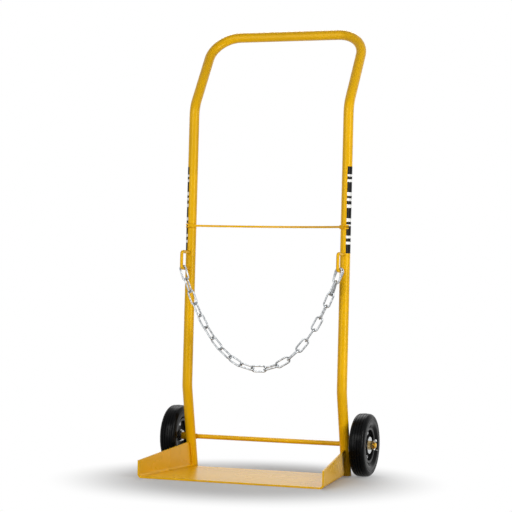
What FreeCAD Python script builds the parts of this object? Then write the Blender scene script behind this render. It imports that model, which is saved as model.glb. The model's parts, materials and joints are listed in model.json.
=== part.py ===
import FreeCAD, Part
import math
import os
import re
import Sketcher
from FreeCAD import Placement, Rotation, Vector

# Gas cylinder trolley: one bent tube frame, a folded toe plate, a cradle bar,
# an axle with two solid rubber wheels, and a retaining chain between two eyes.
# +X is the trolley's right, -Y its front (the toe plate), +Z up, floor at Z = 0.

SIZES = [
    ("tube_diameter", 25.4, "frame tube, outside"),
    ("tube_wall", 2.0, "frame tube wall"),
    ("tube_spacing", 412.0, "between the two tube axes"),
    ("knee_height", 211.0, "floor to the knee bend"),
    ("knee_forward", 49.0, "knee bend ahead of the tube's foot"),
    ("kink_height", 923.0, "floor to the handle bend"),
    ("mast_lean", 20.0, "handle bend behind the knee bend"),
    ("handle_rise", 192.7, "grip bar above the handle bend"),
    ("handle_reach", 138.4, "grip bar behind the handle bend"),
    ("knee_radius", 80.0, "knee bend, tube axis"),
    ("kink_radius", 70.0, "handle bend, tube axis"),
    ("corner_radius", 72.0, "grip bar corners, tube axis"),
    ("weld_gap", 0.25, "root gap of every welded joint"),
    ("overrun", 40.0, "how far a cut runs past its piece"),
    ("toe_reach", 283.0, "front edge ahead of the tube's foot"),
    ("cheek_offset", 1.0, "cheek's outer face outside of the tube axis, at the tubes"),
    ("toe_flare", 30.5, "how far each cheek runs outwards to the front"),
    ("toe_thickness", 4.0, "folded sheet"),
    ("toe_bend", 6.0, "inside radius of the folds"),
    ("cheek_height_rear", 69.0, "floor to the cheek's top at the tubes"),
    ("cheek_height_front", 43.0, "floor to the cheek's top at the front"),
    ("cradle_height", 619.0, "floor to the middle of the cradle bar"),
    ("cradle_thickness", 5.0, "cradle bar, up and down"),
    ("cradle_width", 26.0, "cradle bar, front to back"),
    ("cradle_sag", 68.0, "depth of the cradle's hollow"),
    ("cradle_tip", 0.5, "bar past the tube axis at each end"),
    ("cradle_lip", 9.0, "bar in front of the tube"),
    ("eye_height", 530.0, "floor to the middle of the chain eyes"),
    ("eye_rod", 8.0, "chain eye, rod"),
    ("eye_span", 50.0, "chain eye, over its two legs"),
    ("eye_reach", 64.0, "chain eye ahead of the tube axis"),
    ("eye_bend", 7.0, "chain eye, bend at the rod's axis"),
    ("axle_diameter", 12.0, "axle rod"),
    ("axle_chamfer", 1.0, "axle ends"),
    ("axle_tail", 2.5, "axle past the nut"),
    ("collar_diameter", 19.0, "axle collar"),
    ("collar_gap", 0.3, "collar to the side of the tube"),
    ("wheel_offset", 45.0, "wheel's mid plane outside of the tube axis"),
    ("wheel_diameter", 157.0, "over the tread"),
    ("tyre_width", 40.0, "tyre"),
    ("tyre_shoulder", 10.0, "rounding of the tread's edges"),
    ("tyre_swell", 9.0, "tyre wall past the rim's lip"),
    ("tyre_crown", 1.5, "fall of the tread to its edges"),
    ("wall_ring", 63.0, "first ring groove on the tyre's walls, radius"),
    ("wall_pitch", 5.0, "between the ring grooves"),
    ("wall_depth", 0.8, "ring grooves"),
    ("wall_width", 1.4, "ring grooves"),
    ("groove_width", 1.8, "tread grooves"),
    ("groove_depth", 2.4, "tread grooves"),
    ("groove_pitch", 6.4, "between tread grooves"),
    ("rim_diameter", 80.0, "rim seat under the tyre"),
    ("rim_sheet", 2.0, "pressed rim sheet"),
    ("rim_seat", 12.5, "rim seat from the wheel's mid plane"),
    ("rim_lip", 4.0, "height of the rim's lip"),
    ("rim_bend", 2.0, "inside radius of the pressing"),
    ("rim_play", 0.3, "tyre to rim"),
    ("bolt_circle", 60.0, "rim bolts"),
    ("bolt_diameter", 6.0, "rim bolts"),
    ("bolt_flats", 10.0, "rim bolt heads and nuts, across flats"),
    ("bolt_head", 4.0, "rim bolt head height"),
    ("bolt_nut", 5.0, "rim nut height"),
    ("bolt_tail", 2.0, "rim bolt past its nut"),
    ("bolt_play", 0.2, "rim bolt in its hole, each side"),
    ("hub_diameter", 30.0, "hub sleeve, outside"),
    ("hub_bore", 19.0, "hub sleeve, inside"),
    ("hub_length", 20.0, "hub sleeve"),
    ("hub_play", 0.03, "parts pressed on or in the hub"),
    ("bush_length", 9.0, "bearing bush inside the hub"),
    ("bush_flange", 1.5, "bearing bush flange thickness"),
    ("bush_flange_diameter", 26.0, "bearing bush flange"),
    ("bush_play", 0.05, "running clearance on the axle"),
    ("end_play", 0.3, "side play of the wheel on the axle"),
    ("washer_thickness", 2.5, "axle washers"),
    ("washer_outer", 42.0, "washer under the nut"),
    ("washer_inner", 26.0, "washer against the collar"),
    ("nut_flats", 19.0, "axle nut, across flats"),
    ("nut_height", 14.0, "axle nut, over the castle"),
    ("castle_depth", 5.0, "castle slots"),
    ("castle_width", 3.6, "castle slots"),
    ("castle_neck", 17.0, "round neck of the castle"),
    ("nut_play", 0.05, "nut and washers on the axle"),
    ("pin_diameter", 2.8, "split pin"),
    ("pin_play", 0.2, "split pin in its hole"),
    ("pin_head", 2.4, "loop of the split pin, radius"),
    ("pin_reach", 11.5, "split pin each side of the axle"),
    ("pin_tail", 5.0, "bent leg of the split pin"),
    ("chain_wire", 4.5, "chain wire"),
    ("chain_pitch", 33.4, "inside length of a link"),
    ("chain_inner", 11.0, "inside width of a link"),
    ("chain_play", 0.3, "link to link"),
    ("double_spacing", 14.0, "between the two doubled end links on the right eye"),
]
ALIASES = [alias for alias, number, note in SIZES]

# Counts.
RIM_BOLTS = 4
WALL_RINGS = 2
TREAD_GROOVES = 4
CASTLE_SLOTS = 3
HANGING_LINKS = 19

doc = FreeCAD.newDocument("cylinder_trolley")
sheet = doc.addObject("Spreadsheet::Sheet", "Sizes")
for row, (alias, number, note) in enumerate(SIZES, start=1):
    sheet.set("A%d" % row, alias)
    sheet.set("B%d" % row, str(number))
    sheet.setAlias("B%d" % row, alias)
    sheet.set("C%d" % row, note)
doc.recompute()


def size(alias):
    return float(sheet.get(alias))


def cells(text):
    """Write plain alias names as references to the sheet."""
    def refer(match):
        word = match.group(0)
        return "Sizes." + word if word in ALIASES else word
    return re.sub(r"[a-z_]+", refer, text)


def value(text):
    return float(sheet.evalExpression(cells(text)))


def bind(thing, prop, text):
    thing.setExpression(prop, cells(text))


# Places worked out from the driving sizes.
TUBE_R = size("tube_diameter") / 2
HALF = size("tube_spacing") / 2
FOOT_Y = (size("toe_reach") + size("knee_forward") - size("mast_lean")
          - size("handle_reach") - TUBE_R) / 2
KNEE_Y = FOOT_Y - size("knee_forward")
KINK_Y = KNEE_Y + size("mast_lean")
GRIP_Y = KINK_Y + size("handle_reach")
LEG_ANGLE = math.atan2(size("knee_forward"), size("knee_height"))
MAST_ANGLE = math.atan2(size("mast_lean"), size("kink_height") - size("knee_height"))
MAST_TURN = Rotation(Vector(1, 0, 0), -math.degrees(MAST_ANGLE))
AXLE_Z = size("wheel_diameter") / 2
AXLE_OFF = (TUBE_R + size("axle_diameter") / 2 + size("weld_gap")) / math.cos(LEG_ANGLE)
AXLE_Y = FOOT_Y - math.tan(LEG_ANGLE) * AXLE_Z + AXLE_OFF
WHEEL_X = HALF + size("wheel_offset")


def mast_y(height):
    """Y of the tube axis between the knee and the handle bend."""
    return KNEE_Y + math.tan(MAST_ANGLE) * (height - size("knee_height"))


def origin_feature(body, role):
    return [item for item in body.Origin.OriginFeatures if item.Role == role][0]


def new_body(name):
    body = doc.addObject("PartDesign::Body", name)
    body.Label = name
    return body


def new_sketch(body, name, plane):
    sketch = body.newObject("Sketcher::SketchObject", name)
    sketch.AttachmentSupport = [(origin_feature(body, plane), "")]
    sketch.MapMode = "FlatFace"
    return sketch


def hold_point(sketch, geo, end, across, up):
    """Tie one end of a line or arc to sizes in the sheet."""
    for kind, axis, text in (("DistanceX", -2, across), ("DistanceY", -1, up)):
        if text == "0":
            sketch.addConstraint(Sketcher.Constraint("PointOnObject", geo, end, axis))
        else:
            index = sketch.addConstraint(
                Sketcher.Constraint(kind, -1, 1, geo, end, value(text)))
            bind(sketch, "Constraints[%d]" % index, text)


def outline(sketch, points):
    """Closed polygon through points written in sizes of the sheet."""
    places = [Vector(value(across), value(up), 0) for across, up in points]
    count = len(places)
    lines = []
    for index in range(count):
        line = Part.LineSegment(places[index], places[(index + 1) % count])
        lines.append(sketch.addGeometry(line, False))
    for index in range(count):
        following = lines[(index + 1) % count]
        sketch.addConstraint(Sketcher.Constraint("Coincident", lines[index], 2, following, 1))
    for line, (across, up) in zip(lines, points):
        hold_point(sketch, line, 1, across, up)


def circle(sketch, radius, across="0", up="0"):
    """Circle with its centre and radius in sizes of the sheet."""
    centre = Vector(value(across), value(up), 0)
    geo = sketch.addGeometry(Part.Circle(centre, Vector(0, 0, 1), value(radius)), False)
    if (across, up) == ("0", "0"):
        sketch.addConstraint(Sketcher.Constraint("Coincident", geo, 3, -1, 1))
    else:
        hold_point(sketch, geo, 3, across, up)
    index = sketch.addConstraint(Sketcher.Constraint("Radius", geo, value(radius)))
    bind(sketch, "Constraints[%d]" % index, radius)


def hexagon(sketch, flats, across="0", up="0"):
    """Hexagon across flats, about a centre written in sizes of the sheet."""
    ring = []
    for step in range(6):
        angle = "%d" % (60 * step + 30)
        ring.append(("%s + %s / (2 * cos(30)) * cos(%s)" % (across, flats, angle),
                     "%s + %s / (2 * cos(30)) * sin(%s)" % (up, flats, angle)))
    outline(sketch, ring)


def revolve(body, name, points):
    """Turn a polygon of (along the axle, radius) about the axle."""
    sketch = new_sketch(body, name + "_profile", "XY_Plane")
    outline(sketch, points)
    turned = body.newObject("PartDesign::Revolution", name)
    turned.Profile = sketch
    turned.ReferenceAxis = (sketch, ["H_Axis"])
    turned.Angle = 360
    doc.recompute()
    return turned


def pad(body, name, sketch, length, both_ways=False, backwards=False):
    feature = body.newObject("PartDesign::Pad", name)
    feature.Profile = sketch
    bind(feature, "Length", length)
    feature.Midplane = both_ways
    feature.Reversed = backwards
    doc.recompute()
    return feature


def pocket(body, name, sketch):
    """Cut right through, both ways, and make sure that it cut."""
    before = body.Shape.Volume
    feature = body.newObject("PartDesign::Pocket", name)
    feature.Profile = sketch
    feature.Type = "ThroughAll"
    feature.Midplane = True
    doc.recompute()
    if not body.Shape.Volume < before:
        raise RuntimeError(name + " cuts nothing")
    return feature


def polar(body, name, features, axis, count, angle=360):
    """Repeat features evenly about one of the body's axes."""
    pattern = body.newObject("PartDesign::PolarPattern", name)
    pattern.Originals = features
    pattern.Axis = (origin_feature(body, axis), [""])
    pattern.Angle = angle
    pattern.Occurrences = count
    body.Tip = pattern
    doc.recompute()
    return pattern


def round_edges(body, name, base, names, radius):
    feature = body.newObject("PartDesign::Fillet", name)
    feature.Base = (base, names)
    bind(feature, "Radius", radius)
    body.Tip = feature
    doc.recompute()
    return feature


def ring_edges(feature, places):
    """Names of the circles at given (along the axle, radius) places."""
    names = []
    for index, edge in enumerate(feature.Shape.Edges, start=1):
        curve = edge.Curve
        if not isinstance(curve, Part.Circle):
            continue
        for along, radius in places:
            near = abs(curve.Center.x - value(along)) + abs(curve.Radius - value(radius))
            if near < size("hub_play") / 10:
                names.append("Edge%d" % index)
    return sorted(set(names))


def wire_through(points, radii):
    """Straight runs joined by tangent arcs, one radius for each inner point."""
    edges = []
    start = points[0]
    for before, corner, after, radius in zip(points, points[1:], points[2:], radii):
        come = (before - corner).normalize()
        leave = (after - corner).normalize()
        turn = math.pi - come.getAngle(leave)
        trim = radius * math.tan(turn / 2)
        first = corner + come * trim
        last = corner + leave * trim
        inward = (come + leave).normalize()
        middle = corner + inward * (radius / math.cos(turn / 2) - radius)
        edges.append(Part.LineSegment(start, first).toShape())
        edges.append(Part.Arc(first, middle, last).toShape())
        start = last
    edges.append(Part.LineSegment(start, points[-1]).toShape())
    return Part.Wire(edges)


def wire_pipe(body, name, path, wire, across, up):
    """Sweep a round wire along a path sketch; its section stands at (across, up)."""
    section = new_sketch(body, name + "_section", "YZ_Plane")
    circle(section, wire, across, up)
    pipe = body.newObject("PartDesign::AdditivePipe", name)
    pipe.Profile = section
    pipe.Spine = (path, ["Edge%d" % (index + 1) for index in range(path.GeometryCount)])
    doc.recompute()
    return pipe


NODES = []


def place(thing, place_at):
    thing.Placement = place_at
    NODES.append(thing)
    return thing


# Frame tube

def swept_rod(name, path, radius, start, along):
    """Solid round bar of the frame along the bent path."""
    ring = doc.addObject("Part::Circle", name + "_ring")
    bind(ring, "Radius", radius)
    ring.Placement = Placement(start, Rotation(Vector(0, 0, 1), along))
    rod = doc.addObject("Part::Sweep", name)
    rod.Sections = [ring]
    rod.Spine = (path, ["Edge%d" % (index + 1) for index in range(len(path.Shape.Edges))])
    rod.Solid = True
    rod.Frenet = False
    doc.recompute()
    return rod


def frame_tube():
    """One tube, bent at both knees, both handle bends and both grip corners."""
    sunk = size("overrun")
    foot = Vector(0, FOOT_Y + math.tan(LEG_ANGLE) * sunk, -sunk)
    side = [foot,
            Vector(0, KNEE_Y, size("knee_height")),
            Vector(0, KINK_Y, size("kink_height")),
            Vector(0, GRIP_Y, size("kink_height") + size("handle_rise"))]
    left = [point + Vector(-HALF, 0, 0) for point in side]
    right = [point + Vector(HALF, 0, 0) for point in reversed(side)]
    bends = [size("knee_radius"), size("kink_radius"), size("corner_radius")]
    path = doc.addObject("Part::Feature", "frame_path")
    path.Shape = wire_through(left + right, bends + bends[::-1])
    along = (left[1] - left[0]).normalize()
    outside = swept_rod("tube_outside", path, "tube_diameter / 2", left[0], along)
    inside = swept_rod("tube_inside", path, "tube_diameter / 2 - tube_wall", left[0], along)
    hollow = doc.addObject("Part::Cut", "tube_hollow")
    hollow.Base = outside
    hollow.Tool = inside
    below = doc.addObject("Part::Box", "below_floor")
    bind(below, "Length", "tube_spacing + tube_diameter * 2")
    bind(below, "Width", "knee_forward + overrun * 2 + tube_diameter * 2")
    bind(below, "Height", "overrun * 2")
    below.Placement.Base = Vector(-HALF - 2 * TUBE_R, FOOT_Y - 4 * TUBE_R, -2 * sunk)
    tube = doc.addObject("Part::Cut", "frame_tube")
    tube.Label = "frame_tube"
    tube.Base = hollow
    tube.Tool = below
    doc.recompute()
    place(tube, Placement())


# Toe plate

CHEEK_REAR = "(tube_spacing / 2 + cheek_offset)"
CHEEK_FRONT = "(tube_spacing / 2 + cheek_offset + toe_flare)"


def cheek_section(body, name, side, outer, height, along):
    """One soft fold and the cheek above it, cut across the trolley."""
    sketch = new_sketch(body, name, "XZ_Plane")
    bind(sketch, "AttachmentOffset.Base.z", along)
    fold = "(toe_bend + toe_thickness)"
    inner = "(%s - toe_thickness)" % outer
    root = "(%s - %s)" % (outer, fold)
    flip = "" if side > 0 else "-"
    points = [(flip + root, "0"), (flip + outer, fold), (flip + outer, height),
              (flip + inner, height), (flip + inner, fold), (flip + root, "toe_thickness")]
    bends = {0: fold, 4: "toe_bend"}
    middle = Vector(value(flip + root), value(fold), 0)
    places = [Vector(value(across), value(up), 0) for across, up in points]
    geos = []
    for index, corner in enumerate(places):
        following = places[(index + 1) % len(places)]
        if index in bends:
            outward = ((corner + following) * 0.5 - middle).normalize()
            bulge = middle + outward * value(bends[index])
            geos.append(sketch.addGeometry(Part.Arc(corner, bulge, following), False))
        else:
            geos.append(sketch.addGeometry(Part.LineSegment(corner, following), False))
    for one, other in zip(geos, geos[1:] + geos[:1]):
        end_one, end_other = shared_ends(sketch, one, other)
        sketch.addConstraint(Sketcher.Constraint("Coincident", one, end_one, other, end_other))
    for index, (across, up) in enumerate(points):
        if index in bends:
            radius = sketch.addConstraint(Sketcher.Constraint("Radius", geos[index], value(bends[index])))
            bind(sketch, "Constraints[%d]" % radius, bends[index])
        else:
            hold_point(sketch, geos[index], 1, across, up)
    for index in (3, 5):
        across, up = points[(index + 1) % len(points)]
        hold_point(sketch, geos[index], 2, across, up)
    return sketch


def toe_plate():
    """Sheet folded up at both sides, wider at the front, cut to the slope of the tubes."""
    body = new_body("toe_plate")
    flat = new_sketch(body, "toe_floor", "XY_Plane")
    fold = "(toe_bend + toe_thickness)"
    near = "(%s - %s)" % (CHEEK_REAR, fold)
    far = "(%s - %s)" % (CHEEK_FRONT, fold)
    outline(flat, [("-" + far, "-toe_reach"), (far, "-toe_reach"), (near, "0"), ("-" + near, "0")])
    pad(body, "toe_sheet", flat, "toe_thickness")
    for name, side in (("left", -1), ("right", 1)):
        front = cheek_section(body, name + "_cheek_front", side, CHEEK_FRONT,
                              "cheek_height_front", "toe_reach")
        rear = cheek_section(body, name + "_cheek_rear", side, CHEEK_REAR,
                             "cheek_height_rear", "0")
        cheek = body.newObject("PartDesign::AdditiveLoft", name + "_cheek")
        cheek.Profile = front
        cheek.Sections = [rear]
        cheek.Ruled = True
        doc.recompute()

    # The rear is cut along a plane just in front of both tubes.
    cut = new_sketch(body, "toe_rear_cut", "YZ_Plane")
    slope = "knee_forward / knee_height"
    lead = "(tube_diameter / 2 + weld_gap) * sqrt(1 + (%s) * (%s))" % (slope, slope)
    low = "-(%s) + overrun * %s" % (lead, slope)
    high = "-(%s) - (cheek_height_rear + overrun) * %s" % (lead, slope)
    outline(cut, [(low, "-overrun"), ("overrun * 2", "-overrun"),
                  ("overrun * 2", "cheek_height_rear + overrun"),
                  (high, "cheek_height_rear + overrun")])
    pocket(body, "toe_rear_trim", cut)
    place(body, Placement(Vector(0, FOOT_Y, 0), Rotation()))


# Cradle bar

def cradle_bar():
    """Flat bar bowed back between the tubes, its tips lying on the front of them."""
    body = new_body("cradle_bar")
    sketch = new_sketch(body, "cradle_outline", "XY_Plane")
    tip = "tube_spacing / 2 + cradle_tip"
    front = "-(tube_diameter / 2 + cradle_lip)"
    corners = [("-(%s)" % tip, front), (tip, front),
               (tip, front + " + cradle_width"), ("-(%s)" % tip, front + " + cradle_width")]
    places = [Vector(value(across), value(up), 0) for across, up in corners]
    sag = Vector(0, size("cradle_sag"), 0)
    near = Part.Arc(places[0], (places[0] + places[1]) * 0.5 + sag, places[1])
    far = Part.Arc(places[3], (places[2] + places[3]) * 0.5 + sag, places[2])
    arcs = [sketch.addGeometry(near, False), sketch.addGeometry(far, False)]
    ends = [sketch.addGeometry(Part.LineSegment(places[1], places[2]), False),
            sketch.addGeometry(Part.LineSegment(places[3], places[0]), False)]
    near_left, near_right = arc_ends(sketch, arcs[0])
    far_left, far_right = arc_ends(sketch, arcs[1])
    joints = [(arcs[0], near_right, ends[0], 1), (ends[0], 2, arcs[1], far_right),
              (arcs[1], far_left, ends[1], 1), (ends[1], 2, arcs[0], near_left)]
    for one, end_one, other, end_other in joints:
        sketch.addConstraint(Sketcher.Constraint("Coincident", one, end_one, other, end_other))
    for line, end, corner in ((ends[0], 1, 1), (ends[0], 2, 2), (ends[1], 1, 3), (ends[1], 2, 0)):
        hold_point(sketch, line, end, corners[corner][0], corners[corner][1])
    chord = "(%s)" % tip
    bow = "(%s * %s + cradle_sag * cradle_sag) / (2 * cradle_sag)" % (chord, chord)
    for arc in arcs:
        radius = sketch.addConstraint(Sketcher.Constraint("Radius", arc, value(bow)))
        bind(sketch, "Constraints[%d]" % radius, bow)
    pad(body, "cradle_plate", sketch, "cradle_thickness", both_ways=True)
    notch = new_sketch(body, "cradle_notches", "XY_Plane")
    for side in ("", "-"):
        circle(notch, "tube_diameter / 2 + weld_gap", side + "(tube_spacing / 2)", "0")
    pocket(body, "cradle_seat", notch)
    height = size("cradle_height")
    place(body, Placement(Vector(0, mast_y(height), height), Rotation()))


def arc_ends(sketch, geo):
    """Point numbers of an arc's left and right ends."""
    first = sketch.getPoint(geo, 1)
    return (1, 2) if first.x < 0 else (2, 1)


# Chain eyes

def chain_eye(name, side):
    """Rod bent to a staple and welded upright on the front of a tube."""
    body = new_body(name)
    path = new_sketch(body, name + "_path", "YZ_Plane")
    leg = (size("eye_span") - size("eye_rod")) / 2
    reach = size("eye_reach") - size("eye_rod") / 2
    corners = [Vector(0, leg, 0), Vector(-reach, leg, 0),
               Vector(-reach, -leg, 0), Vector(0, -leg, 0)]
    bent_path(path, corners, ["0", "-(eye_reach - eye_rod / 2)"],
              ["(eye_span - eye_rod) / 2"], "eye_bend")
    section = new_sketch(body, name + "_section", "XZ_Plane")
    circle(section, "eye_rod / 2", "0", "(eye_span - eye_rod) / 2")
    rod = body.newObject("PartDesign::AdditivePipe", name + "_rod")
    rod.Profile = section
    rod.Spine = (path, ["Edge%d" % (index + 1) for index in range(path.GeometryCount)])
    doc.recompute()
    saddle = new_sketch(body, name + "_saddle", "XY_Plane")
    circle(saddle, "tube_diameter / 2 + weld_gap")
    pocket(body, name + "_cope", saddle)
    height = size("eye_height")
    place(body, Placement(Vector(side * HALF, mast_y(height), height), MAST_TURN))


def bent_path(sketch, corners, across, up, bend):
    """Staple path: two legs and a bridge joined by tangent arcs."""
    radius = value(bend)
    wire = wire_through(corners, [radius, radius])
    geos = []
    for edge in wire.Edges:
        curve = edge.Curve
        ends = [edge.valueAt(edge.FirstParameter), edge.valueAt(edge.LastParameter)]
        if isinstance(curve, Part.Circle):
            middle = edge.valueAt((edge.FirstParameter + edge.LastParameter) / 2)
            geos.append(sketch.addGeometry(Part.Arc(ends[0], middle, ends[1]), False))
        else:
            geos.append(sketch.addGeometry(Part.LineSegment(ends[0], ends[1]), False))
    for one, other in zip(geos, geos[1:]):
        end_one, end_other = shared_ends(sketch, one, other)
        sketch.addConstraint(Sketcher.Constraint("Tangent", one, end_one, other, end_other))
    for arc in (geos[1], geos[3]):
        index = sketch.addConstraint(Sketcher.Constraint("Radius", arc, radius))
        bind(sketch, "Constraints[%d]" % index, bend)
    for line in (geos[0], geos[4]):
        sketch.addConstraint(Sketcher.Constraint("Horizontal", line))
    hold_point(sketch, geos[0], 1, across[0], up[0])
    hold_point(sketch, geos[4], 2, across[0], "-(%s)" % up[0])
    index = sketch.addConstraint(Sketcher.Constraint("DistanceX", -1, 1, geos[2], 1, value(across[1])))
    bind(sketch, "Constraints[%d]" % index, across[1])
    sketch.addConstraint(Sketcher.Constraint("Vertical", geos[2]))


def shared_ends(sketch, one, other):
    """Point numbers where two lines or arcs of a path meet."""
    pairs = [(first, second) for first in (1, 2) for second in (1, 2)]
    return min(pairs, key=lambda pair: sketch.getPoint(one, pair[0]).distanceToPoint(
        sketch.getPoint(other, pair[1])))


# Axle and what is on it. Each piece is made about the wheel's mid plane, with X
# pointing away from the trolley, and turned about for the left side.

INNER_END = "-(hub_length / 2 + bush_flange + end_play)"
OUTER_END = "(hub_length / 2 + bush_flange + end_play)"


def wheel_place(side):
    turn = Rotation(Vector(0, 0, 1), 0 if side > 0 else 180)
    return Placement(Vector(side * WHEEL_X, AXLE_Y, AXLE_Z), turn)


def axle():
    body = new_body("axle")
    end = "(tube_spacing / 2 + wheel_offset + %s + washer_thickness + nut_height + axle_tail)" % OUTER_END
    rod = revolve(body, "axle_rod", [("-" + end, "0"), (end, "0"),
                                     (end, "axle_diameter / 2"), ("-" + end, "axle_diameter / 2")])
    tips = ring_edges(rod, [(end, "axle_diameter / 2"), ("-" + end, "axle_diameter / 2")])
    bevel = body.newObject("PartDesign::Chamfer", "axle_tips")
    bevel.Base = (rod, tips)
    bind(bevel, "Size", "axle_chamfer")
    body.Tip = bevel
    doc.recompute()
    holes = new_sketch(body, "axle_pin_holes", "XY_Plane")
    station = "(%s - axle_tail - castle_depth / 2)" % end
    for side in ("", "-"):
        circle(holes, "pin_diameter / 2 + pin_play", side + station, "0")
    pocket(body, "axle_drill", holes)
    place(body, Placement(Vector(0, AXLE_Y, AXLE_Z), Rotation()))


def axle_collar(name, side):
    """Sleeve welded on the axle between the tube and the wheel."""
    body = new_body(name)
    far = "-(wheel_offset - tube_diameter / 2 - collar_gap)"
    near = INNER_END + " - washer_thickness"
    ring = [(far, "axle_diameter / 2 + nut_play"), (near, "axle_diameter / 2 + nut_play"),
            (near, "collar_diameter / 2"), (far, "collar_diameter / 2")]
    revolve(body, name + "_sleeve", ring)
    place(body, wheel_place(side))


def washer(name, side, start, diameter):
    body = new_body(name)
    stop = start + " + washer_thickness"
    bore = "axle_diameter / 2 + nut_play"
    revolve(body, name + "_disc", [(start, bore), (stop, bore),
                                   (stop, diameter + " / 2"), (start, diameter + " / 2")])
    place(body, wheel_place(side))


def axle_nut(name, side):
    """Hexagon nut with a slotted round castle."""
    body = new_body(name)
    seat = OUTER_END + " + washer_thickness"
    hexes = new_sketch(body, name + "_flats", "YZ_Plane")
    bind(hexes, "AttachmentOffset.Base.z", seat)
    hexagon(hexes, "nut_flats")
    circle(hexes, "axle_diameter / 2 + nut_play")
    pad(body, name + "_hexagon", hexes, "nut_height - castle_depth")
    neck = new_sketch(body, name + "_neck", "YZ_Plane")
    bind(neck, "AttachmentOffset.Base.z", seat + " + nut_height - castle_depth")
    circle(neck, "castle_neck / 2")
    circle(neck, "axle_diameter / 2 + nut_play")
    pad(body, name + "_castle", neck, "castle_depth")
    slots = new_sketch(body, name + "_slot", "XY_Plane")
    low = seat + " + nut_height - castle_depth"
    high = seat + " + nut_height + overrun"
    outline(slots, [(low, "-castle_width / 2"), (high, "-castle_width / 2"),
                    (high, "castle_width / 2"), (low, "castle_width / 2")])
    slot = pocket(body, name + "_slots", slots)
    sweep = 180 * (CASTLE_SLOTS - 1) / CASTLE_SLOTS
    polar(body, name + "_slot_ring", [slot], "X_Axis", CASTLE_SLOTS, sweep)
    place(body, wheel_place(side))


def split_pin(name, side):
    """Wire pin through the castle: a looped head, a straight shank, a bent leg."""
    body = new_body(name)
    path = new_sketch(body, name + "_path", "XZ_Plane")
    reach = size("pin_reach")
    loop = size("pin_head")
    bend = size("pin_diameter")
    heel = bend - bend * math.sqrt(2) / 2
    pieces = [Part.LineSegment(Vector(bend + size("pin_tail"), -reach, 0), Vector(bend, -reach, 0)),
              Part.Arc(Vector(bend, -reach, 0), Vector(heel, heel - reach, 0),
                       Vector(0, bend - reach, 0)),
              Part.LineSegment(Vector(0, bend - reach, 0), Vector(0, reach, 0)),
              Part.Arc(Vector(0, reach, 0), Vector(loop * 2, reach, 0),
                       Vector(loop, reach - loop, 0))]
    leg, foot, shank, head = [path.addGeometry(piece, False) for piece in pieces]
    for one, other in ((leg, foot), (foot, shank), (shank, head)):
        end_one, end_other = shared_ends(path, one, other)
        path.addConstraint(Sketcher.Constraint("Coincident", one, end_one, other, end_other))
    hold_point(path, leg, 1, "pin_diameter + pin_tail", "-pin_reach")
    hold_point(path, leg, 2, "pin_diameter", "-pin_reach")
    hold_point(path, shank, 1, "0", "pin_diameter - pin_reach")
    hold_point(path, shank, 2, "0", "pin_reach")
    tip = 3 - shared_ends(path, shank, head)[1]
    hold_point(path, head, tip, "pin_head", "pin_reach - pin_head")
    for arc, radius in ((foot, "pin_diameter"), (head, "pin_head")):
        index = path.addConstraint(Sketcher.Constraint("Radius", arc, value(radius)))
        bind(path, "Constraints[%d]" % index, radius)
    section = new_sketch(body, name + "_section", "YZ_Plane")
    circle(section, "pin_diameter / 2", "0", "-pin_reach")
    bind(section, "AttachmentOffset.Base.z", "pin_diameter + pin_tail")
    wire = body.newObject("PartDesign::AdditivePipe", name + "_wire")
    wire.Profile = section
    wire.Spine = (path, ["Edge%d" % (index + 1) for index in range(path.GeometryCount)])
    doc.recompute()
    station = value(OUTER_END + " + washer_thickness + nut_height - castle_depth / 2")
    local = Placement(Vector(station, 0, 0), Rotation())
    place(body, wheel_place(side).multiply(local))


# Wheel

def tyre(name, side):
    """Solid rubber ring with rounded shoulders and grooves round the tread."""
    body = new_body(name)
    crown = "wheel_diameter / 2"
    waist = "rim_seat - rim_play"
    bead = "rim_diameter / 2 + rim_play"
    lip = "rim_diameter / 2 + rim_lip + rim_play * 2"
    edge = crown + " - tyre_crown"
    half = [(waist, bead), (waist, lip), ("tyre_width / 2", lip + " + tyre_swell"),
            ("tyre_width / 2", edge)]
    other = [("-(%s)" % along, radius) for along, radius in reversed(half)]
    ring = revolve(body, name + "_ring", half + [("0", crown)] + other)
    edges = ring_edges(ring, [("tyre_width / 2", edge), ("-(tyre_width / 2)", edge)])
    rounded = round_edges(body, name + "_shoulders", ring, edges, "tyre_shoulder")
    edges = ring_edges(rounded, [("tyre_width / 2", lip + " + tyre_swell"),
                                 ("-(tyre_width / 2)", lip + " + tyre_swell")])
    round_edges(body, name + "_walls", rounded, edges, "tyre_swell")
    cut = new_sketch(body, name + "_groove_profile", "XY_Plane")
    for index in range(TREAD_GROOVES):
        middle = "groove_pitch * %s" % (index - (TREAD_GROOVES - 1) / 2)
        outline(cut, [(middle + " - groove_width / 2", crown + " - groove_depth"),
                      (middle + " + groove_width / 2", crown + " - groove_depth"),
                      (middle + " + groove_width / 2", crown + " + overrun"),
                      (middle + " - groove_width / 2", crown + " + overrun")])
    for flip in ("", "-"):
        floor = flip + "(tyre_width / 2 - wall_depth)"
        beyond = flip + "(tyre_width / 2 + overrun)"
        for index in range(WALL_RINGS):
            inner = "wall_ring + wall_pitch * %d" % index
            outline(cut, [(floor, inner), (beyond, inner), (beyond, inner + " + wall_width"),
                          (floor, inner + " + wall_width")])
    before = body.Shape.Volume
    groove = body.newObject("PartDesign::Groove", name + "_grooves")
    groove.Profile = cut
    groove.ReferenceAxis = (cut, ["H_Axis"])
    groove.Angle = 360
    doc.recompute()
    if not body.Shape.Volume < before:
        raise RuntimeError(name + " has no grooves")
    place(body, wheel_place(side))


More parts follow.
